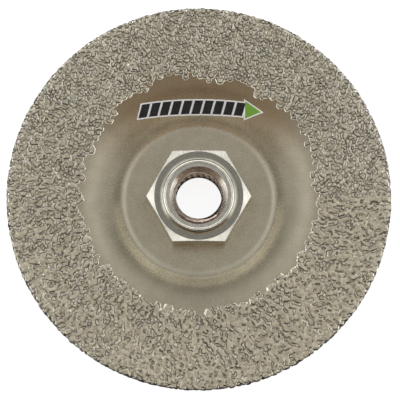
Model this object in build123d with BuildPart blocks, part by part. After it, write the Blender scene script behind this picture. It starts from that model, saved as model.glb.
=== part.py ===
"""Depressed-centre diamond grinding wheel with a threaded hex hub.

+Z runs along the wheel's axis towards the working face. The origin is the centre of the flat back face
that seats on a grinder's spindle shoulder, so everything lies above Z = 0.
"""
from build123d import *
from math import cos, radians, sin, tan
import os

# Wheel body: a pressed saucer of sheet steel
wheel_diameter = 115.0
core_thickness = 2.0
recess_depth = 3.8
floor_radius = 21.4
bend_radius = 5.0
wall_angle = 27.0
shoulder_radius = 23.9
rim_corner_radius = 0.4

# Brazed diamond layer
grit_height = 0.8
edge_grit_depth = 0.8
back_lap_width = 6.0
edge_corner_radius = 0.6

# Back flange
flange_diameter = 38.0
flange_thickness = 1.5
flange_edge_chamfer = 0.4

# Hub nut
hub_diameter = 22.2
hub_clearance = 0.05
swage_chamfer = 0.7
hex_across_flats = 26.9
hex_height = 11.0
hex_corner_angle = 30.0
bearing_diameter = 26.4
foot_chamfer = 0.4
collar_base_diameter = 23.0
collar_crest_diameter = 21.0
collar_height = 1.4
collar_rounding = 0.6
lip_diameter = 19.8
lip_drop = 0.6

# Hub bore, plain at the minor diameter of its 5/8-11 UNC thread
thread_minor_diameter = 13.5
front_sink_diameter = 17.2
back_sink_diameter = 16.4
sink_angle = 45.0
sink_overcut = 0.5

# Heights that follow from the sizes above
floor_z = flange_thickness + core_thickness
rim_z = floor_z + recess_depth
rim_back_z = rim_z - core_thickness
grit_top_z = rim_z + grit_height
hex_face_z = floor_z + hex_height
collar_top_z = hex_face_z + collar_height
lip_z = collar_top_z - lip_drop

# Radii that follow from the sizes above
core_radius = wheel_diameter / 2 - edge_grit_depth
seam_radius = core_radius - rim_corner_radius
hub_radius = hub_diameter / 2
arbor_hole_radius = hub_radius + hub_clearance
minor_radius = thread_minor_diameter / 2

# The wall between the recess floor and the rim: a bend, a straight slope and a wide shoulder
wall_rise = recess_depth - (bend_radius + shoulder_radius) * (1 - cos(radians(wall_angle)))
wall_length = wall_rise / sin(radians(wall_angle))
bend_run = (bend_radius + shoulder_radius) * sin(radians(wall_angle))
rim_flat_radius = floor_radius + bend_run + wall_length * cos(radians(wall_angle))


def saucer_line(depth):
    """One face of the pressed sheet, from arbor hole to rim, at a depth under the front face."""
    floor = Line((arbor_hole_radius, floor_z - depth), (floor_radius, floor_z - depth))
    bend = JernArc(floor @ 1, floor % 1, bend_radius + depth, wall_angle)
    wall = PolarLine(bend @ 1, wall_length, direction=bend % 1)
    shoulder = JernArc(wall @ 1, wall % 1, shoulder_radius - depth, -wall_angle)
    rim = Line(shoulder @ 1, (core_radius, rim_z - depth))
    return floor, rim


# Steel core: the saucer, one thickness all over, with a 7/8 in arbor hole.
with BuildPart() as steel_core:
    with BuildSketch(Plane.XZ):
        with BuildLine():
            front_floor, front_rim = saucer_line(0)
            back_floor, back_rim = saucer_line(core_thickness)
            Line(front_floor @ 0, back_floor @ 0)
            Line(front_rim @ 1, back_rim @ 1)
        make_face()
    revolve(axis=Axis.Z)
    rim_edges = steel_core.edges().filter_by(GeomType.CIRCLE).group_by(SortBy.RADIUS)[-1]
    fillet(rim_edges, rim_corner_radius)
steel_core.part.label = "steel_core"

# Face grit: diamond held in braze over the flat rim, from the end of the shoulder to the core's corner.
with BuildPart() as face_grit:
    with BuildSketch(Plane.XY.offset(rim_z)):
        Circle(seam_radius)
        Circle(rim_flat_radius, mode=Mode.SUBTRACT)
    extrude(amount=grit_height)
face_grit.part.label = "face_grit"

# Edge grit: the same layer carried round the rim's two corners and lapped onto the back.
with BuildPart() as edge_grit:
    with BuildSketch(Plane.XZ):
        with BuildLine():
            Line((seam_radius, rim_z), (seam_radius, grit_top_z))
            Polyline(
                (seam_radius, grit_top_z),
                (wheel_diameter / 2, grit_top_z),
                (wheel_diameter / 2, rim_back_z - grit_height),
                (core_radius - back_lap_width, rim_back_z - grit_height),
                (core_radius - back_lap_width, rim_back_z),
                (seam_radius, rim_back_z),
            )
            back_corner = JernArc((seam_radius, rim_back_z), (1, 0), rim_corner_radius, 90)
            rim_edge = Line(back_corner @ 1, (core_radius, rim_z - rim_corner_radius))
            JernArc(rim_edge @ 1, (0, 1), rim_corner_radius, 90)
        make_face()
    revolve(axis=Axis.Z)
    outer_edges = edge_grit.edges().filter_by(GeomType.CIRCLE).group_by(SortBy.RADIUS)[-1]
    fillet(outer_edges, edge_corner_radius)
edge_grit.part.label = "edge_grit"

# Back flange: a washer under the recess, countersunk at the back for the hub's swaged end.
with BuildPart() as back_flange:
    with BuildSketch():
        Circle(flange_diameter / 2)
        Circle(arbor_hole_radius, mode=Mode.SUBTRACT)
    extrude(amount=flange_thickness)
    flange_rim = back_flange.edges().filter_by(GeomType.CIRCLE).group_by(SortBy.RADIUS)[-1]
    chamfer(flange_rim, flange_edge_chamfer)
    flange_hole = back_flange.edges().filter_by(GeomType.CIRCLE).group_by(SortBy.RADIUS)[0]
    chamfer(flange_hole.group_by(Axis.Z)[0], swage_chamfer)
back_flange.part.label = "back_flange"

# Hub nut: a hex standing on the recess floor, with a round spigot through core and flange, a rounded
# collar round its mouth, and a bore countersunk at both ends.
with BuildPart() as hub_nut:
    with BuildSketch(Plane.XY.offset(floor_z)):
        RegularPolygon(hex_across_flats / 2, 6, major_radius=False)
    extrude(amount=hex_height)

    # The turned cone that bevels the hex's corners, front and foot
    with BuildSketch(Plane.XZ):
        bevel_slope = tan(radians(hex_corner_angle))
        face_radius = bearing_diameter / 2
        foot_radius = hex_across_flats / 2 - foot_chamfer
        Polygon(
            (0, hex_face_z),
            (face_radius, hex_face_z),
            (hex_across_flats, hex_face_z - (hex_across_flats - face_radius) * bevel_slope),
            (hex_across_flats, floor_z + (hex_across_flats - foot_radius) * bevel_slope),
            (foot_radius, floor_z),
            (0, floor_z),
            align=None,
        )
    revolve(axis=Axis.Z, mode=Mode.INTERSECT)

    # Collar
    with BuildSketch(Plane.XZ):
        Polygon(
            (0, hex_face_z),
            (collar_base_diameter / 2, hex_face_z),
            (collar_crest_diameter / 2, collar_top_z),
            (0, collar_top_z),
            align=None,
        )
    revolve(axis=Axis.Z)

    # Spigot, swaged out at the back
    with BuildSketch(Plane.XZ):
        Polygon(
            (0, floor_z),
            (hub_radius, floor_z),
            (hub_radius, swage_chamfer),
            (hub_radius + swage_chamfer, 0),
            (0, 0),
            align=None,
        )
    revolve(axis=Axis.Z)
    crest_edge = hub_nut.edges().filter_by(GeomType.CIRCLE).group_by(Axis.Z)[-1]
    fillet(crest_edge, collar_rounding)
    Hole(minor_radius)

    # Lip sunk into the collar
    with BuildSketch(Plane.XY.offset(collar_top_z)):
        Circle(lip_diameter / 2)
    extrude(amount=-lip_drop, mode=Mode.SUBTRACT)

    # Countersinks, whose cones reach a little past the lip, the back face and the bore
    sink_slope = tan(radians(sink_angle))
    sink_tip_radius = minor_radius - sink_overcut
    front_mouth_radius = front_sink_diameter / 2 + sink_overcut
    back_mouth_radius = back_sink_diameter / 2 + sink_overcut
    with Locations((0, 0, lip_z + sink_overcut * sink_slope)):
        Cone(
            sink_tip_radius,
            front_mouth_radius,
            (front_mouth_radius - sink_tip_radius) * sink_slope,
            align=(Align.CENTER, Align.CENTER, Align.MAX),
            mode=Mode.SUBTRACT,
        )
    with Locations((0, 0, -sink_overcut * sink_slope)):
        Cone(
            back_mouth_radius,
            sink_tip_radius,
            (back_mouth_radius - sink_tip_radius) * sink_slope,
            align=(Align.CENTER, Align.CENTER, Align.MIN),
            mode=Mode.SUBTRACT,
        )
hub_nut.part.label = "hub_nut"

os.makedirs("parts", exist_ok=True)
export_step(steel_core.part, "parts/steel_core.step")
export_step(face_grit.part, "parts/face_grit.step")
export_step(edge_grit.part, "parts/edge_grit.step")
export_step(back_flange.part, "parts/back_flange.step")
export_step(hub_nut.part, "parts/hub_nut.step")
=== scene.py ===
"""Looks of the diamond grinding wheel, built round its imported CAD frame."""

import bpy
import numpy as np
from math import atan2, cos, hypot, pi, radians, sin, sqrt, tan
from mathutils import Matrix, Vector


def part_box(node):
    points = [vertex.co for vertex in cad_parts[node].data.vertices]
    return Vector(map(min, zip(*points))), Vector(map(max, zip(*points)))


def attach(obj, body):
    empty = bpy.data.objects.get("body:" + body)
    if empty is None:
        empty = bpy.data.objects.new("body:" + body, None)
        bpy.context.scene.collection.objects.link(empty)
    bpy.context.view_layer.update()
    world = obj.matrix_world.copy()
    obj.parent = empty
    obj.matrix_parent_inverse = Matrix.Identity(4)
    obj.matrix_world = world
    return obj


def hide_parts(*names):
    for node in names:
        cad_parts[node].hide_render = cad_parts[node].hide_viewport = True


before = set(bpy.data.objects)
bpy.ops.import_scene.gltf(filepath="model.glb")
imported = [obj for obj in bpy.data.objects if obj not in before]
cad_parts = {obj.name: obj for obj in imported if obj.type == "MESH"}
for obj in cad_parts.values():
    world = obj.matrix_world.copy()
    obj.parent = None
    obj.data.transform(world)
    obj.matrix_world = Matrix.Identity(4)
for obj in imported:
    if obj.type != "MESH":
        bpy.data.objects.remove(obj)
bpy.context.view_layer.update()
MM = 0.001

# ---------------------------------------------------------------------------------------------------------
# Steel core: 2 mm sheet steel pressed into a saucer, with a 7/8 in arbor hole in its flat floor. The whole
# sheet has been through the brazing furnace, which leaves a satin, slightly grainy champagne-grey skin.
core_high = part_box("steel_core")[1]
sheet = 2.0 * MM
floor_z = 3.5 * MM
rim_z = core_high.z
core_edge = core_high.x
arbor_hole = 11.15 * MM
floor_radius = 21.4 * MM
bend_radius = 5.0 * MM
shoulder_radius = 23.9 * MM
wall_tilt = radians(27.0)
edge_rounding = 0.4 * MM
bend_steps = 12
shoulder_steps = 24
edge_steps = 6
wall_rise = rim_z - floor_z - (bend_radius + shoulder_radius) * (1 - cos(wall_tilt))
wall_run = wall_rise / tan(wall_tilt)
rim_start = floor_radius + (bend_radius + shoulder_radius) * sin(wall_tilt) + wall_run


def saucer(depth, past_rim):
    """Points (radius, height) down one face of the pressed sheet, from the arbor hole to the rim."""
    bend = bend_radius + depth
    shoulder = shoulder_radius - depth
    points = [(arbor_hole, floor_z - depth)]
    for step in range(bend_steps + 1):
        tilt = wall_tilt * step / bend_steps
        points.append((floor_radius + bend * sin(tilt), floor_z - depth + bend * (1 - cos(tilt))))
    for step in range(shoulder_steps + 1):
        tilt = wall_tilt * (1 - step / shoulder_steps)
        points.append((rim_start - shoulder * sin(tilt), rim_z - depth - shoulder * (1 - cos(tilt))))
    return points + [(past_rim, rim_z - depth)]


def rounded(centre_r, centre_z, radius, start, end, steps):
    """Points (radius, height) along an arc from one angle to another, in degrees."""
    turn = [radians(start + (end - start) * step / steps) for step in range(steps + 1)]
    return [(centre_r + radius * cos(a), centre_z + radius * sin(a)) for a in turn]


def weld(gap, cap_ends):
    """In edit mode, merges doubles, caps open ends if asked, points the faces outwards, and leaves it."""
    bpy.ops.mesh.select_all(action="SELECT")
    bpy.ops.mesh.remove_doubles(threshold=gap)
    if cap_ends:
        bpy.ops.mesh.fill_holes(sides=0)
        bpy.ops.mesh.select_all(action="SELECT")
    bpy.ops.mesh.normals_make_consistent(inside=False)
    bpy.ops.object.mode_set(mode="OBJECT")


def turned(name, outline, segments=256, closed=True):
    """A solid of revolution: a circle, extruded ring by ring along an outline of (radius, height)."""
    bpy.ops.object.select_all(action="DESELECT")
    radius, height = outline[0]
    bpy.ops.mesh.primitive_circle_add(vertices=segments, radius=radius, location=(0, 0, height))
    piece = bpy.context.object
    piece.name = name
    bpy.ops.object.transform_apply(location=True, rotation=True, scale=True)
    bpy.ops.object.mode_set(mode="EDIT")
    bpy.ops.mesh.select_all(action="SELECT")
    onward = outline[1:] + outline[:1] if closed else outline[1:]
    for next_radius, next_height in onward:
        bpy.ops.mesh.extrude_region_move(TRANSFORM_OT_translate={"value": (0, 0, next_height - height)})
        grow = next_radius / radius
        bpy.ops.transform.resize(value=(grow, grow, 1), center_override=(0, 0, 0))
        radius, height = next_radius, next_height
    weld(1e-6, cap_ends=True)
    bpy.ops.object.shade_smooth_by_angle(angle=radians(28))
    return piece


class Value:
    """A number on a finish's node tree; arithmetic on it adds Math nodes."""

    def __init__(self, finish, socket):
        self.finish = finish
        self.socket = socket

    def __getitem__(self, output):
        return Value(self.finish, self.socket.node.outputs[output])

    def sum(self, operation, *terms):
        return self.finish.node("ShaderNodeMath", {"operation": operation}, dict(enumerate(terms)))

    def __add__(self, other):
        return self.sum("ADD", self, other)

    def __sub__(self, other):
        return self.sum("SUBTRACT", self, other)

    def __rsub__(self, other):
        return self.sum("SUBTRACT", other, self)

    def __mul__(self, other):
        return self.sum("MULTIPLY", self, other)

    def __truediv__(self, other):
        return self.sum("DIVIDE", self, other)

    def __pow__(self, other):
        return self.sum("POWER", self, other)

    __radd__ = __add__
    __rmul__ = __mul__

    def ramp(self, low, high, start=0.0, end=1.0):
        """Runs smoothly from start to end as the value goes from low to high."""
        settings = {"interpolation_type": "SMOOTHSTEP"}
        sockets = {0: self, 1: low, 2: high, 3: start, 4: end}
        return self.finish.node("ShaderNodeMapRange", settings, sockets)

    def stretched(self):
        """Runs a noise, which seldom leaves 0.3 to 0.7, over the whole of 0 to 1."""
        return self.ramp(0.3, 0.7)


class Finish:
    """A material, or the world, whose nodes are all made by node()."""

    def __init__(self, owner):
        self.owner = owner
        owner.use_nodes = True
        self.tree = owner.node_tree
        self.tree.nodes.clear()

    def node(self, kind, settings, sockets, output=0):
        made = self.tree.nodes.new(kind)
        for setting, value in settings.items():
            setattr(made, setting, value)
        for socket, value in sockets.items():
            if isinstance(value, Value):
                self.tree.links.new(value.socket, made.inputs[socket])
            else:
                made.inputs[socket].default_value = value
        return Value(self, made.outputs[output]) if made.outputs else made

    def place(self):
        return self.node("ShaderNodeTexCoord", {}, {}, "Object")

    def noise(self, where, scale, detail=2.0, roughness=0.5):
        sockets = {"Vector": where, "Scale": scale, "Detail": detail, "Roughness": roughness}
        return self.node("ShaderNodeTexNoise", {}, sockets)

    def blend(self, factor, first, second):
        return self.node("ShaderNodeMix", {"data_type": "RGBA"}, {0: factor, 6: first, 7: second}, 2)

    def bump(self, height, distance, strength=1.0, normal=None):
        sockets = {"Height": height, "Distance": distance, "Strength": strength}
        if normal:
            sockets["Normal"] = normal
        return self.node("ShaderNodeBump", {}, sockets)

    def surface(self, **sockets):
        named = {socket.replace("_", " "): value for socket, value in sockets.items()}
        shader = self.node("ShaderNodeBsdfPrincipled", {}, named)
        self.node("ShaderNodeOutputMaterial", {}, {"Surface": shader})
        return self.owner


def new_finish(name):
    return Finish(bpy.data.materials.new(name))


skin_dark = (0.47, 0.43, 0.32, 1)
skin_light = (0.58, 0.53, 0.405, 1)
# Painted highlight colour, for the ring round the bend at the foot of the wall
painted_highlight_colour = (0.80, 0.755, 0.64, 1)
# Painted reflection colour: the brown of the room, laid on one side of the shoulder
brown_reflection_colour = (0.27, 0.175, 0.085, 1)
skin = new_finish("furnace_skin")
where = skin.place()
mottle = skin.noise(where, 260.0, 3.0, 0.6)
speck = skin.noise(where, 2600.0, 2.0, 0.7)
broad = skin.noise(where, 55.0, 2.0, 0.5)
shade = mottle.stretched() * 0.5 + speck.stretched() * 0.35 + broad.stretched() * 0.15
skin_colour = skin.blend(shade, skin_dark, skin_light)
spread_out = skin.node("ShaderNodeVectorMath", {"operation": "MULTIPLY"}, {0: where, 1: (1, 1, 0)})
from_axis = skin.node("ShaderNodeVectorMath", {"operation": "LENGTH"}, {0: spread_out}, "Value")

# Painted highlight: a ring round the bend at the foot of the wall is lightened
bend_highlight_mask = from_axis.ramp(20.8 * MM, 22.0 * MM) * from_axis.ramp(24.1 * MM, 23.1 * MM)
# Painted reflection: the shoulder is tinted brown on one side, where it would mirror the brown room
reflection_side = skin.node("ShaderNodeSeparateXYZ", {}, {0: where})["Y"] / from_axis
reflection_ring = from_axis.ramp(28.5 * MM, 33.5 * MM) * from_axis.ramp(41.0 * MM, 38.0 * MM)
brown_reflection_mask = reflection_side.ramp(0.35, 0.85) * reflection_ring
skin_colour = skin.blend(bend_highlight_mask * 0.32, skin_colour, painted_highlight_colour)
skin_finish = skin.surface(
    Base_Color=skin.blend(brown_reflection_mask * 0.75, skin_colour, brown_reflection_colour),
    Metallic=0.85,
    Roughness=0.24 + speck.stretched() * 0.08,
    Normal=skin.bump(speck, 0.04 * MM, 0.35, skin.bump(mottle, 0.12 * MM, 0.25)),
)

edge_centre = core_edge - edge_rounding
rim_line_end = core_edge - 2.0 * MM
rim_edge_points = rounded(edge_centre, rim_z - edge_rounding, edge_rounding, 90, 0, edge_steps)
rim_edge_points += rounded(edge_centre, rim_z - sheet + edge_rounding, edge_rounding, 0, -90, edge_steps)
core_outline = saucer(0, rim_line_end) + rim_edge_points + saucer(sheet, rim_line_end)[::-1]
core = turned("pressed_core", core_outline)
core.data.materials.append(skin_finish)
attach(core, "root")
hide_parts("steel_core")

# ---------------------------------------------------------------------------------------------------------
# Diamond coat: crushed diamond scattered over nickel braze, which melts round each grain and draws up its
# sides. It starts raggedly on the shoulder, covers the flat rim, and laps round the edge onto the back.
coat_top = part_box("face_grit")[1].z
coat_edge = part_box("edge_grit")[1].x
lap_width = 6.0 * MM
lap_margin = 0.1 * MM
around = 2240
row_pitch = 0.13 * MM
corner_rows = 5
coat_start = 32.9 * MM
grain_seed = np.random.default_rng(41)


def shoulder_point(radius):
    """Height and outward tilt of the core's front at a radius from the shoulder to the rim."""
    reach = max(rim_start - radius, 0.0)
    tilt = atan2(reach, sqrt(shoulder_radius ** 2 - reach ** 2))
    return rim_z - shoulder_radius * (1 - cos(tilt)), tilt


def coat_path():
    """The section the coat follows: point and outward normal at even steps along the core's skin."""
    points = []
    radius = coat_start
    while radius < rim_start:
        height, tilt = shoulder_point(radius)
        points.append((radius, height, -sin(tilt), cos(tilt)))
        radius += row_pitch
    flat_end = core_edge - edge_rounding
    flat_rows = round((flat_end - rim_start) / row_pitch)
    for row in range(flat_rows):
        points.append((rim_start + (flat_end - rim_start) * row / flat_rows, rim_z, 0.0, 1.0))
    for centre_z, first_turn in ((rim_z - edge_rounding, 90), (rim_z - sheet + edge_rounding, 0)):
        for row in range(corner_rows + 1):
            turn = radians(first_turn - 90 * row / corner_rows)
            radius = flat_end + edge_rounding * cos(turn)
            points.append((radius, centre_z + edge_rounding * sin(turn), cos(turn), sin(turn)))
        if first_turn:
            drop = sheet - 2 * edge_rounding
            edge_rows = round(drop / row_pitch)
            for row in range(1, edge_rows):
                points.append((core_edge, centre_z - drop * row / edge_rows, 1.0, 0.0))
    radius = flat_end - row_pitch
    while radius > core_edge - lap_width + lap_margin:
        points.append((radius, rim_z - sheet, 0.0, -1.0))
        radius -= row_pitch
    return np.array(points)


path = coat_path()
mid_height = 0.4 * MM
mid_path = path[:, :2] + mid_height * path[:, 2:]
row_gaps = np.hypot(*np.diff(mid_path, axis=0).T)
along = np.concatenate([[0], np.cumsum(row_gaps)])
rows = len(path)
turn_step = 2 * pi / around
turns = np.arange(around) * turn_step


# Grains thin out towards the shoulder, where the coat's ragged edge lies a little off the wheel's centre
first_grains = 34.6 * MM
edge_of_coat = 35.6 * MM
fill_in = 2.2 * MM
edge_shift = 1.35 * MM
stray_share = 0.05
grain_tries = 70000
grain_spacing = 2.15
search_cell = 1.9 * MM
least_size = 0.44
size_range = 0.50
top_range = (0.58, 0.76)


def smooth_field(cells_along, cells_around):
    """Even noise over the developed coat, from a coarse random grid that closes on itself."""
    coarse = grain_seed.random((cells_along + 1, cells_around))
    row_place = np.linspace(0, cells_along, rows)
    turn_place = turns / (2 * pi) * cells_around
    row_cell = np.minimum(row_place.astype(int), cells_along - 1)
    turn_cell = turn_place.astype(int)
    next_turn = (turn_cell + 1) % cells_around
    row_part = (row_place - row_cell)[:, None]
    row_part = row_part * row_part * (3 - 2 * row_part)
    turn_part = (turn_place - turn_cell)[None, :]
    turn_part = turn_part * turn_part * (3 - 2 * turn_part)
    low, high = coarse[row_cell], coarse[row_cell + 1]
    low = low[:, turn_cell] * (1 - turn_part) + low[:, next_turn] * turn_part
    high = high[:, turn_cell] * (1 - turn_part) + high[:, next_turn] * turn_part
    return low * (1 - row_part) + high * row_part


def scatter():
    """Grain centres as (distance along, turn, size, radius), kept apart by a hash of cells."""
    taken = {}
    found = []
    for s_share, t_share, size_roll, place_roll, cover_roll in grain_seed.random((grain_tries, 5)):
        s = s_share * along[-1]
        t = t_share * 2 * pi
        r = np.interp(s, along, mid_path[:, 0])
        if place_roll > r / coat_edge:
            continue
        x, y = r * cos(t), r * sin(t)
        if np.interp(s, along, path[:, 3]) > 0.5:
            ragged = hypot(x, y - edge_shift) + 0.5 * MM * sin(5 * t + 1) + 0.4 * MM * sin(13 * t)
            density = np.clip((ragged - edge_of_coat) / fill_in, 0.0, 1.0) ** 0.8
            if ragged < edge_of_coat:
                density = stray_share if ragged > first_grains else 0.0
            if cover_roll > density:
                continue
        fine_side = 0.5 + 0.5 * y / coat_edge
        size = (least_size + size_range * size_roll ** 1.4) * (1.12 - 0.32 * fine_side) * MM
        cell_s, cell_t = int(s / search_cell), int(r * t / search_cell)
        near = [other for ds in (-1, 0, 1) for dt in (-1, 0, 1)
                for other in taken.get((cell_s + ds, cell_t + dt), ())]
        if all(hypot(s - other_s, r * (t - other_t)) >= 0.5 * grain_spacing * (size + other_size)
               for other_s, other_t, other_size in near):
            taken.setdefault((cell_s, cell_t), []).append((s, t, size))
            found.append((s, t, size, r))
    return found


relief = np.zeros((rows, around))
crown = np.zeros((rows, around))
for s, t, size, r in scatter():
    stretch = grain_seed.uniform(1.0, 1.45)
    slew = grain_seed.uniform(0, pi)
    top = grain_seed.uniform(*top_range) * MM * (0.80 + 0.20 * size / (0.7 * MM))
    squareness = grain_seed.uniform(2.2, 3.6)
    tip_u, tip_v = grain_seed.normal(0, 0.10, 2)
    top *= 1.0 - 0.3 * np.interp(s, along, np.abs(path[:, 2]))
    span = size * 1.9
    row_from = int(np.searchsorted(along, s - span))
    row_to = int(np.searchsorted(along, s + span))
    side_columns = int(span / (r * turn_step)) + 1
    centre = int(round(t / turn_step))
    columns = np.arange(centre - side_columns, centre + side_columns + 1)
    ds = (along[row_from:row_to] - s)[:, None]
    dt = (r * (columns * turn_step - t))[None, :]
    u = (ds * cos(slew) + dt * sin(slew)) / (size * stretch)
    v = (-ds * sin(slew) + dt * cos(slew)) / (size / sqrt(stretch))
    squared = (np.abs(u) ** squareness + np.abs(v) ** squareness) ** (1 / squareness)
    bearing = np.arctan2(v, u)
    wobble = 1 + 0.10 * np.sin(3 * bearing + slew * 7) + 0.06 * np.sin(5 * bearing + slew)
    distance = squared * wobble
    grain = top * (1 + tip_u * u + tip_v * v) / (1 + distance ** 8)
    wrapped = columns % around
    relief[row_from:row_to, wrapped] = np.maximum(relief[row_from:row_to, wrapped], grain)
    broken = np.clip(1.25 - distance, 0, 1)
    crown[row_from:row_to, wrapped] = np.maximum(crown[row_from:row_to, wrapped], broken)

# Braze pools between the grains, thin where the coat ends
kernel = np.array([1, 4, 7, 9, 7, 4, 1], float)
kernel /= kernel.sum()


def soften(field, passes):
    """Runs a small blur along and round the coat."""
    for _ in range(passes):
        padded = np.pad(field, ((3, 3), (0, 0)), mode="edge")
        field = sum(k * padded[i:i + rows] for i, k in enumerate(kernel))
        field = sum(k * np.roll(field, i - 3, axis=1) for i, k in enumerate(kernel))
    return field


pool = soften(relief, 3)
facets = smooth_field(150, 1200) - 0.5
lumps = smooth_field(40, 360) - 0.5
braze = 0.22 * pool + 0.02 * MM
height = np.maximum(relief, braze) + crown * facets * 0.08 * MM + lumps * 0.05 * MM

# Where there is no braze, and at the end of the lap, the coat dips under the core's skin
skin_dip = 0.06 * MM
covered = np.clip(pool / (0.14 * MM), 0, 1)
height = height * covered - 0.05 * MM * (1 - covered)
height = np.clip(height, -skin_dip, 0.78 * MM)
end_fade = np.clip((along[-1] - along) / (0.5 * MM), 0, 1)[:, None]
height = height * end_fade - skin_dip * (1 - end_fade)
slope_along = np.gradient(height, axis=0) / row_pitch
slope_round = (np.roll(height, -1, axis=1) - np.roll(height, 1, axis=1)) / (2 * turn_step * mid_path[:, :1])
steepness = np.hypot(slope_along, slope_round)
box_margin = 0.01 * MM
radii = np.minimum(path[:, :1] + height * path[:, 2:3], coat_edge - box_margin)
heights = np.minimum(path[:, 1:2] + height * path[:, 3:], coat_top - box_margin)


def grid_through(name, places):
    """A mesh grid whose points are moved to given places, an array of rows of (x, y, z)."""
    bpy.ops.object.select_all(action="DESELECT")
    cuts_up, cuts_along = places.shape[0] - 1, places.shape[1] - 1
    bpy.ops.mesh.primitive_grid_add(x_subdivisions=cuts_along, y_subdivisions=cuts_up, size=1)
    grid = bpy.context.object
    grid.name = name
    grid.data.vertices.foreach_set("co", places.astype(np.float32).ravel())
    grid.data.update()
    return grid


def coat_band(name, first, last):
    """Adds one band of the coat as its own closed piece, with height and steepness kept as attributes."""
    under = 0.16 * MM
    ends = path[[first, last - 1]]
    low_r, low_z = (ends[:, :2] - under * ends[:, 2:]).T

    def closed(field, low, high):
        rings = np.vstack([np.full(around, low), field[first:last], np.full(around, high)])
        rings = np.vstack([rings, rings[:1]])
        return np.hstack([rings, rings[:, :1]])

    ring_r = closed(radii, *low_r)
    ring_z = closed(heights, *low_z)
    turn = np.append(turns, 0.0)[None, :]
    band = grid_through(name, np.dstack([ring_r * np.cos(turn), ring_r * np.sin(turn), ring_z]))
    for attribute, field in (("coat_height", height / MM), ("coat_steepness", steepness)):
        kept = band.data.attributes.new(attribute, "FLOAT", "POINT")
        kept.data.foreach_set("value", closed(field, 0.0, 0.0).astype(np.float32).ravel())
    bpy.ops.object.mode_set(mode="EDIT")
    weld(1e-7, cap_ends=False)
    bpy.ops.object.shade_smooth()
    return band


braze_dull = (0.78, 0.73, 0.60, 1)
braze_bright = (0.95, 0.91, 0.80, 1)
grain_dark = (0.49, 0.455, 0.35, 1)
grain_light = (0.75, 0.695, 0.55, 1)
side_shadow = (0.03, 0.025, 0.016, 1)
grit = new_finish("brazed_diamond")
where = grit.place()
coat_height = grit.node("ShaderNodeAttribute", {"attribute_name": "coat_height"}, {}, "Fac")
steep = grit.node("ShaderNodeAttribute", {"attribute_name": "coat_steepness"}, {}, "Fac")
fine = grit.noise(where, 3400.0, 2.0, 0.6)
tone = grit.noise(where, 900.0, 2.0, 0.5)
on_grain = coat_height.ramp(0.22, 0.42)
braze_colour = grit.blend(fine.stretched(), braze_dull, braze_bright)
grain_colour = grit.blend(tone.stretched(), grain_dark, grain_light)
bonded_colour = grit.blend(on_grain, braze_colour, grain_colour)
grit_finish = grit.surface(
    Base_Color=grit.blend(steep.ramp(0.85, 1.5) * 0.92, bonded_colour, side_shadow),
    Metallic=0.85,
    Roughness=0.17 + on_grain * 0.12,
    Normal=grit.bump(fine, 0.05 * MM, 0.4),
)

# Seven bands, so that none is too large a mesh: five on the face, one over the edge, and one on the back
flat_last = int(np.argmax(path[:, 2] > 0.3)) - 2
face_bands = 5
lap_rows_with_edge = 12
cuts = [round(flat_last * share / face_bands) for share in range(face_bands + 1)]
back_cut = int(np.argmax(path[:, 2:].sum(axis=1) < -0.5)) + lap_rows_with_edge
bands = {f"grit_face_{share + 1}": (cuts[share], cuts[share + 1] + 1) for share in range(face_bands)}
bands["grit_edge"] = (flat_last, back_cut + 1)
bands["grit_back_lap"] = (back_cut, rows)
for name, (first, last) in bands.items():
    band = coat_band(name, first, last)
    band.data.materials.append(grit_finish)
    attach(band, "root")
    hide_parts("face_grit" if name.startswith("grit_face") else "edge_grit")

# ---------------------------------------------------------------------------------------------------------
# Back flange: a turned and zinc-plated steel washer under the recess floor, which seats on the spindle's
# shoulder. It is countersunk at the back, where the hub's spigot is swaged out into it.
flange_low, flange_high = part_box("back_flange")
flange_edge = 0.4 * MM
swage = 0.7 * MM
flange_outline = [
    (arbor_hole, flange_high.z),
    (flange_high.x - flange_edge, flange_high.z),
    (flange_high.x, flange_high.z - flange_edge),
    (flange_high.x, flange_edge),
    (flange_high.x - flange_edge, flange_low.z),
    (arbor_hole + swage, flange_low.z),
    (arbor_hole, swage),
]
flange = turned("back_washer", flange_outline, 192)
tool_mark_depth = 0.015 * MM


def turned_steel(name, dark, bright, roughness, hub_tints=None):
    """Machined steel: fine rings left by the tool, and a faint blotchiness in the plating."""
    steel = new_finish(name)
    where = steel.place()
    parts = steel.node("ShaderNodeSeparateXYZ", {}, {0: where})
    from_axis = (parts * parts + parts["Y"] * parts["Y"]) ** 0.5
    lines = steel.node("ShaderNodeCombineXYZ", {}, {0: from_axis, 1: parts["Z"], 2: 0.0})
    rings = steel.noise(lines, 5200.0, 3.0, 0.65)
    blotch = steel.noise(where, 420.0, 3.0, 0.6)
    speck = steel.noise(where, 2400.0, 2.0, 0.6)
    worn = blotch.stretched() * 0.4 + rings.stretched() * 0.35 + speck.ramp(0.35, 0.7) * 0.25
    colour = steel.blend(worn, dark, bright)
    if hub_tints:
        colour = hub_colour(steel, colour, worn, parts, from_axis, **hub_tints)
    return steel.surface(
        Base_Color=colour,
        Metallic=1.0,
        Roughness=roughness + speck.stretched() * 0.1,
        Normal=steel.bump(rings, tool_mark_depth, 0.6),
    )


zinc_dark = (0.50, 0.49, 0.45, 1)
zinc_bright = (0.66, 0.65, 0.61, 1)
flange.data.materials.append(turned_steel("turned_zinc", zinc_dark, zinc_bright, 0.3))
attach(flange, "root")
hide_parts("back_flange")

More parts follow.
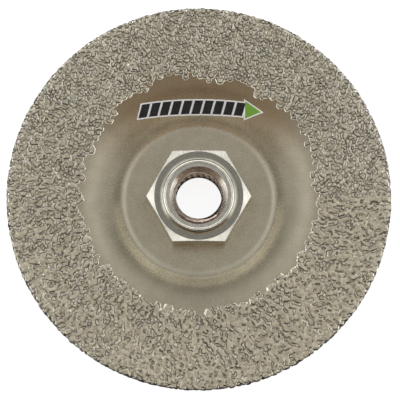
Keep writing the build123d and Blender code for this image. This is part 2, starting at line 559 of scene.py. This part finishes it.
# ---------------------------------------------------------------------------------------------------------
# Hub nut: hex bar turned on a lathe, which bevels its corners and leaves a collar with a sunk lip round
# the mouth. Its spigot goes through core and flange and is swaged over at the back. The bore has a
# right-hand 5/8-11 thread and is countersunk at both ends.
nut_low, nut_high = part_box("hub_nut")
across_flats = nut_high.y - nut_low.y
hex_face_z = 14.5 * MM
face_radius = 13.2 * MM
bevel = radians(30.0)
foot = 0.4 * MM
spigot = 11.1 * MM
hex_root = 2.0 * MM
axis_gap = 3.0 * MM
cone_reach = 17.0 * MM
collar_base = 11.5 * MM
crest_z = nut_high.z
lip_radius = 9.74 * MM
lip_z = crest_z - 0.6 * MM
thread_pitch = 25.4 / 11 * MM
thread_minor = 6.75 * MM
thread_major = 7.9375 * MM
thread_flank = radians(30.0)
back_mouth = 8.2 * MM
front_mouth = 8.6 * MM


def joined(base, tool, how):
    """Runs a Boolean modifier and applies it; the tool is used up."""
    bpy.ops.object.select_all(action="DESELECT")
    bpy.context.view_layer.objects.active = base
    base.select_set(True)
    cut = base.modifiers.new("cut", "BOOLEAN")
    cut.operation = how
    cut.object = tool
    cut.solver = "EXACT"
    bpy.ops.object.modifier_apply(modifier=cut.name)
    bpy.data.objects.remove(tool)


hex_height = hex_face_z - floor_z
bpy.ops.object.select_all(action="DESELECT")
bpy.ops.mesh.primitive_cylinder_add(vertices=6, radius=across_flats / sqrt(3), depth=hex_height,
                                    location=(0, 0, floor_z + hex_height / 2), rotation=(0, 0, radians(90)))
nut = bpy.context.object
nut.name = "hex_hub"
bpy.ops.object.transform_apply(location=True, rotation=True, scale=True)
bevel_outline = [
    (axis_gap, hex_face_z),
    (face_radius, hex_face_z),
    (cone_reach, hex_face_z - (cone_reach - face_radius) * tan(bevel)),
    (cone_reach, floor_z + (cone_reach - across_flats / 2 + foot) * tan(bevel)),
    (across_flats / 2 - foot, floor_z),
    (axis_gap, floor_z),
]
joined(nut, turned("bevel_cones", bevel_outline, 192, closed=False), "INTERSECT")
collar_side = [(collar_base, 0.0), (11.1 * MM, 0.12 * MM), (10.8 * MM, 0.45 * MM), (10.5 * MM, 1.05 * MM)]
collar_crest = [(10.36 * MM, 0.20 * MM), (10.04 * MM, 0.03 * MM), (9.95 * MM, 0.0), (9.84 * MM, 0.07 * MM)]
lip_rounding = 0.04 * MM
spigot_outline = [
    (axis_gap, nut_low.z),
    (spigot + swage, nut_low.z),
    (spigot, swage),
    (spigot, hex_face_z - hex_root),
    (collar_base, hex_face_z - hex_root),
    *[(radius, hex_face_z + rise) for radius, rise in collar_side],
    *[(radius, crest_z - drop) for radius, drop in collar_crest],
    (lip_radius, lip_z + lip_rounding),
    (lip_radius - lip_rounding, lip_z),
    (axis_gap, lip_z),
]
joined(nut, turned("spigot_and_collar", spigot_outline, 192, closed=False), "UNION")

# The bore is cut by a threaded plug that flares at both ends for the countersinks
plug_rows = 170
plug_around = 128
plug_past = 0.5 * MM
plug_z = np.linspace(nut_low.z - plug_past, lip_z + plug_past, plug_rows)[:, None]
plug_turn = np.append(np.arange(plug_around), 0)[None, :] * 2 * pi / plug_around
phase = np.mod(plug_z / thread_pitch - plug_turn / (2 * pi), 1.0)
from_root = np.abs(phase - 0.5) * thread_pitch
flank_depth = np.maximum(from_root - thread_pitch / 16, 0) / tan(thread_flank)
thread = np.clip(thread_major - flank_depth, thread_minor, None)
back_sink = back_mouth - (plug_z - nut_low.z)
front_sink = front_mouth - (lip_z - plug_z)
plug_r = np.maximum(np.maximum(thread, back_sink), front_sink)
plug_places = np.dstack([plug_r * np.cos(plug_turn), plug_r * np.sin(plug_turn), plug_z + 0 * plug_turn])
plug = grid_through("thread_plug", plug_places)
bpy.ops.object.mode_set(mode="EDIT")
weld(1e-7, cap_ends=True)
joined(nut, plug, "DIFFERENCE")
bpy.ops.object.shade_smooth_by_angle(angle=radians(22))


def hub_colour(steel, colour, worn, parts, from_axis, oiled, bore_warm_reflection, bore_painted_shade, thread_painted_shade, turned_face_and_reflection):
    """The hub's tints: an oiled bore with a painted warm reflection on one side and painted shade on the
    other, painted shade over the threaded length, and a top face darkened partly for its turned finish and
    partly as a painted reflection.
    """
    in_bore = from_axis.ramp(8.8 * MM, 8.3 * MM)
    side = parts["Y"] / from_axis
    # Painted reflection on one side of the bore and painted shade on the other, over the oiled tint
    bore_colour = steel.blend(side.ramp(0.35, 0.90), oiled, bore_warm_reflection)
    bore_colour = steel.blend(side.ramp(-0.35, -0.90), bore_colour, bore_painted_shade)
    colour = steel.blend(in_bore * (0.7 + worn * 0.3), colour, bore_colour)
    # Painted shade: the threaded length of the bore is darkened almost to black
    threads = in_bore * parts["Z"].ramp(14.1 * MM, 13.6 * MM) * parts["Z"].ramp(1.0 * MM, 2.0 * MM)
    colour = steel.blend(threads * 0.85, colour, thread_painted_shade)
    # The top face is darkened, partly for its turned finish and partly as a painted reflection of the dark
    # space above
    normal = steel.node("ShaderNodeNewGeometry", {}, {}, "Normal")
    facing_up = steel.node("ShaderNodeSeparateXYZ", {}, {0: normal}, "Z")
    turned_face_and_reflection_mask = facing_up.ramp(0.97, 0.995) * from_axis.ramp(10.0 * MM, 10.8 * MM)
    return steel.blend(turned_face_and_reflection_mask * 0.7, colour, turned_face_and_reflection)


hub_dark = (0.54, 0.515, 0.44, 1)
hub_bright = (0.80, 0.78, 0.71, 1)
# The bore's side colours and the thread colour are painted reflection and painted shade; the last darkens the
# top face, partly for its turned finish and partly as a painted reflection
hub_tints = {
    "oiled": (0.70, 0.65, 0.575, 1),
    "bore_warm_reflection": (0.95, 0.70, 0.53, 1),
    "bore_painted_shade": (0.399, 0.294, 0.2226, 1),
    "thread_painted_shade": (0.10, 0.08, 0.06, 1),
    "turned_face_and_reflection": (0.29, 0.27, 0.22, 1),
}
nut.data.materials.clear()
nut.data.materials.append(turned_steel("plated_hub", hub_dark, hub_bright, 0.15, hub_tints))
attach(nut, "root")
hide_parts("hub_nut")

# ---------------------------------------------------------------------------------------------------------
# Printed mark: a generic turning-direction arrow in enamel ink on the slope of the recess. Slanted black
# bars lead to a green head, and each is printed over a white outline.
ink_thickness = 0.03 * MM
arc_foot = 25.6
arc_radius = 105.0 * MM
front_radii, front_heights = np.array(saucer(0, core_edge)).T


def ink_patch(name, corners, lift, finish):
    """A thin four-cornered patch of ink on the slope; corners are mm along and up a shallow arc."""
    cuts_u, cuts_v = 16, 10
    (a0, h0), (a1, h1), (a2, h2), (a3, h3) = corners
    places = []
    for v in np.linspace(0, 1, cuts_v + 1):
        for u in np.linspace(0, 1, cuts_u + 1):
            along_arc = (1 - v) * ((1 - u) * a0 + u * a1) + v * ((1 - u) * a3 + u * a2)
            up = (1 - v) * ((1 - u) * h0 + u * h1) + v * ((1 - u) * h3 + u * h2)
            x = along_arc * MM
            y = (arc_foot + up) * MM - x * x / (2 * arc_radius)
            places.append((x, y, np.interp(hypot(x, y), front_radii, front_heights) + lift))
    patch = grid_through(name, np.array(places).reshape(cuts_v + 1, cuts_u + 1, 3))
    bpy.ops.object.mode_set(mode="EDIT")
    bpy.ops.mesh.select_all(action="SELECT")
    bpy.ops.mesh.normals_make_consistent(inside=False)
    bpy.ops.mesh.extrude_region_move(TRANSFORM_OT_translate={"value": (0, 0, -ink_thickness - lift)})
    bpy.ops.mesh.select_all(action="SELECT")
    bpy.ops.mesh.normals_make_consistent(inside=False)
    bpy.ops.object.mode_set(mode="OBJECT")
    bpy.ops.object.shade_smooth_by_angle(angle=radians(30))
    patch.data.materials.append(finish)
    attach(patch, "root")


def ink(name, colour):
    """Matt enamel with a faint paler grain."""
    enamel = new_finish(name)
    grain = enamel.noise(enamel.place(), 2600.0, 2.0, 0.6)
    paler = tuple(0.8 * share + 0.12 for share in colour[:3]) + (1,)
    return enamel.surface(
        Base_Color=enamel.blend(grain.ramp(0.35, 0.75) * 0.25, colour, paler),
        Roughness=0.45,
        Specular_IOR_Level=0.25,
        Normal=enamel.bump(grain, 0.02 * MM, 0.3),
    )


black_ink = ink("black_ink", (0.012, 0.012, 0.016, 1))
white_ink = ink("white_ink", (0.96, 0.96, 0.95, 1))
green_ink = ink("green_ink", (0.20, 0.42, 0.05, 1))
band_height = 3.9
outline = 0.38
slant = 1.1
bar_count = 10
first_bar = -18.0
bar_width = 2.5
bar_step = 3.15
for bar in range(bar_count):
    left = first_bar + bar * bar_step
    right = left + bar_width
    body = [(left, 0), (right, 0), (right + slant, band_height), (left + slant, band_height)]
    border = [(left - 1.2 * outline, -outline), (right + outline, -outline),
              (right + slant + 1.2 * outline, band_height + outline),
              (left + slant - outline, band_height + outline)]
    ink_patch(f"mark_outline_{bar}", border, 0.02 * MM, white_ink)
    ink_patch(f"mark_bar_{bar}", body, 0.035 * MM, black_ink)
tip = 18.4
barb = tip - 4.6
flare = 0.6
blunt = 0.05
middle = band_height / 2
head = [(barb, -flare), (tip, middle - blunt), (tip, middle + blunt), (barb, band_height + flare)]
head_border = [(barb - outline, -1.5 * outline - flare), (tip + 2 * outline, middle - 2 * blunt),
               (tip + 2 * outline, middle + 2 * blunt), (barb - outline, band_height + flare + 1.5 * outline)]
ink_patch("mark_outline_head", head_border, 0.025 * MM, white_ink)
ink_patch("mark_head", head, 0.04 * MM, green_ink)

# ---------------------------------------------------------------------------------------------------------
# Studio: a white table that glows a little, a pale tent with bright sides and a dark front, and a camera
# that leans back a little from straight above. The tent gives the metal its reflections.
table_size = 6.0
table_drop = 0.2 * MM
bpy.ops.object.select_all(action="DESELECT")
bpy.ops.mesh.primitive_plane_add(size=table_size, location=(0, 0, -table_drop))
table = bpy.context.object
table.name = "table"
paper = new_finish("table_paper")
glow = paper.node("ShaderNodeEmission", {}, {"Color": (1, 1, 1, 1), "Strength": 0.88})
matt = paper.node("ShaderNodeBsdfDiffuse", {}, {"Color": (0.6, 0.6, 0.6, 1)})
both = paper.node("ShaderNodeAddShader", {}, {0: glow, 1: matt})
paper.node("ShaderNodeOutputMaterial", {}, {"Surface": both})
table.data.materials.append(paper.owner)
table.visible_glossy = False
table.visible_diffuse = False

world = bpy.data.worlds.new("tent")
bpy.context.scene.world = world
tent = Finish(world)
way = tent.node("ShaderNodeTexCoord", {}, {}, "Generated")
axes = tent.node("ShaderNodeSeparateXYZ", {}, {0: way})
sideways = axes.sum("ABSOLUTE", axes)
back, up = axes["Y"], axes["Z"]
ahead = 0 - back
overhead = (0, 0.12, 0.993)
toward_lens = tent.node("ShaderNodeVectorMath", {"operation": "DOT_PRODUCT"}, {0: way, 1: overhead}, "Value")
behind = back.ramp(0.50, 0.85) * up.ramp(0.42, 0.28) * up.ramp(-0.02, 0.16)
side_light = sideways.ramp(0.28, 0.80) * up.ramp(0.57, 0.45)
halo = toward_lens.ramp(0.99, 0.955)
soft_boxes = sideways.ramp(0.03, 0.14) * sideways.ramp(0.55, 0.32)
dim_back = back.ramp(0.10, 0.50)
front_box = ahead.ramp(0.45, 0.65) * up.ramp(0.46, 0.53) * up.ramp(0.67, 0.61)
dark_room = ahead.ramp(0.30, 0.60) * up.ramp(0.48, 0.30)
ground = up.ramp(0.03, -0.12)
brown_wall = (ahead - sideways * 0.35).ramp(-0.06, 0.10) * up.ramp(0.60, 0.72)
far_wall = dim_back * up.ramp(0.80, 0.62) * up.ramp(0.42, 0.50)
room = 0.345 + halo * 0.18 + soft_boxes * 0.42 + side_light * 1.6 + front_box * 0.7
lit = (room * (1 - dim_back * 0.40 - far_wall * 0.25) + behind * 2.1) * (1 - dark_room * 0.93)
brightness = lit * (1 - ground * 0.95)
white_light = (1, 1, 1, 1)
brown_light = (0.36, 0.255, 0.155, 1)
tint = tent.blend(brown_wall + far_wall * 0.45, white_light, brown_light)
sky = tent.node("ShaderNodeBackground", {}, {"Color": tint, "Strength": brightness})
tent.node("ShaderNodeOutputWorld", {}, {"Surface": sky})

camera_lean = radians(7.0)
camera_distance = 2.0
aim = Vector((0.36, -0.4, 6.8)) * MM
camera_data = bpy.data.cameras.new("camera")
camera_data.lens = 606.0
camera_data.sensor_width = 36.0
camera_data.clip_start = 0.01
camera = bpy.data.objects.new("camera", camera_data)
bpy.context.scene.collection.objects.link(camera)
camera.location = aim + camera_distance * Vector((0, -sin(camera_lean), cos(camera_lean)))
camera.rotation_euler = (camera_lean, 0, 0)
bpy.context.scene.camera = camera
bpy.context.scene.view_settings.view_transform = "Standard"
